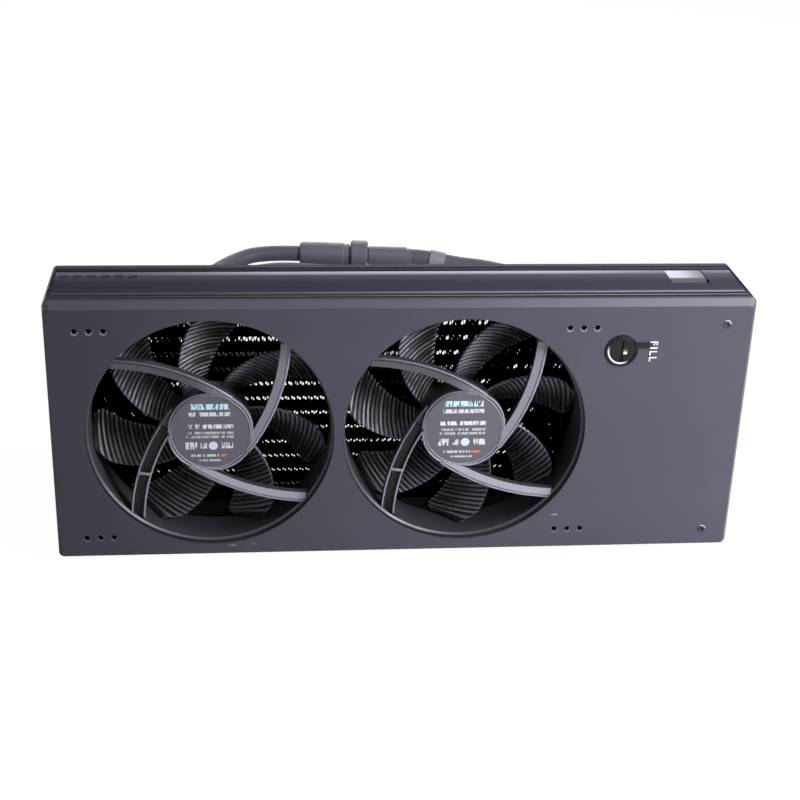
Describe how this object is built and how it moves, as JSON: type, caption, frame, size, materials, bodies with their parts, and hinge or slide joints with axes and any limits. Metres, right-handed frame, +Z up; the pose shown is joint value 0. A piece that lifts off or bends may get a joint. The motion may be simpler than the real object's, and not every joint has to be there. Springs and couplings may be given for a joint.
{
  "type": "all in one cpu liquid cooler",
  "caption": "Free-standing liquid cooler case with paired fans over a radiator, reservoir and pump, and hoses with a quick coupling to a CPU block.",
  "frame": {"origin": "middle of the case's underside, where it stands", "axes": "+X along the case, -Y out of the fan side, +Z up"},
  "size_m": [0.384, 0.4858, 0.154],
  "materials": {
    "cover_paint": "satin",
    "plain_steel": "satin",
    "black_screws": "satin",
    "black_plastic": "satin",
    "smoked_plastic": "gloss",
    "clear_plastic": "gloss",
    "circuit_board": "matt",
    "black_radiator": "matt",
    "plated_brass": "black plated",
    "black_rubber": "matt",
    "hose_rubber": "satin",
    "copper": "polished",
    "brass": "satin",
    "fan_plastic": "satin",
    "label_film": "satin",
    "lead_sleeve": "satin"
  },
  "bodies": {
    "case": {"fan_cover": "cover_paint", "rear_cover": "cover_paint", "cover_posts": "plain_steel", "cover_screws": "black_screws", "strip_bezel": "black_plastic", "light_strip": "smoked_plastic", "level_window": "clear_plastic", "led_board": "circuit_board", "fan_screws": "black_screws", "radiator_tubes": "black_radiator", "radiator_fins": "black_radiator", "radiator_rails": "black_radiator", "end_tank": "black_radiator", "header_plate": "black_radiator", "reservoir": "clear_plastic", "fill_collar": "plated_brass", "pump_top": "black_plastic", "pump_motor": "black_plastic", "pump_stator": "plain_steel", "pump_shaft": "plain_steel", "pump_seal": "black_rubber", "pump_foot": "black_rubber", "return_duct": "black_plastic", "inlet_fitting": "plated_brass", "outlet_fitting": "plated_brass", "case_hose_nuts": "plated_brass", "block_hose_nuts": "plated_brass", "coupling_socket": "plated_brass", "coupling_plug": "plated_brass", "hose_sleeve": "black_rubber", "outer_hose_right": "hose_rubber", "outer_hose_left": "hose_rubber", "inner_hose": "hose_rubber", "cold_plate": "copper", "block_body": "black_plastic", "block_gasket": "black_rubber", "block_bracket": "plain_steel", "block_lid": "black_plastic", "block_elbows": "plated_brass", "cable_grommet": "black_rubber", "fan_frame_1": "fan_plastic", "fan_bush_1": "brass", "fan_stator_1": "plain_steel", "fan_label_1": "label_film", "fan_leads_1": "lead_sleeve", "fan_frame_2": "fan_plastic", "fan_bush_2": "brass", "fan_stator_2": "plain_steel", "fan_label_2": "label_film", "fan_leads_2": "lead_sleeve"},
    "fan_1_rotor": {"fan_rotor_1": "fan_plastic", "fan_shaft_1": "plain_steel", "fan_magnet_1": "black_rubber"},
    "fan_2_rotor": {"fan_rotor_2": "fan_plastic", "fan_shaft_2": "plain_steel", "fan_magnet_2": "black_rubber"},
    "pump_rotor_body": {"pump_rotor": "black_plastic"},
    "plug_carrier": {"fill_seal": "black_rubber"},
    "plug": {"fill_plug": "plated_brass"},
    "coupling_ring": {"coupling_collar": "plated_brass"}
  },
  "joints": [
    {"name": "fan_spin_1", "type": "hinge", "parent": "case", "child": "fan_1_rotor", "pos_m": [-0.1058, 0, 0.076], "axis": [0, 1, 0], "continuous": true},
    {"name": "fan_spin_2", "type": "hinge", "parent": "case", "child": "fan_2_rotor", "pos_m": [0.0342, 0, 0.076], "axis": [0, 1, 0], "continuous": true},
    {"name": "pump_spin", "type": "hinge", "parent": "case", "child": "pump_rotor_body", "pos_m": [0.1465, -0.001, 0.03], "axis": [0, 0, 1], "continuous": true},
    {"name": "plug_travel", "type": "slide", "parent": "case", "child": "plug_carrier", "axis": [0, -1, 0], "range_m": [0, 0.00535]},
    {"name": "plug_turn", "type": "hinge", "parent": "plug_carrier", "child": "plug", "pos_m": [0.1183, -0.03, 0.1245], "axis": [0, -1, 0], "range_deg": [0, 1440]},
    {"name": "coupling_turn", "type": "hinge", "parent": "case", "child": "coupling_ring", "pos_m": [0.009, 0.4408, 0.013], "axis": [0.9957, -0.0924, 0], "range_deg": [0, 720]}
  ],
  "couplings": [
    {"joint": "plug_travel", "follows": "plug_turn", "m_per_rad": 0.0002128}
  ]
}
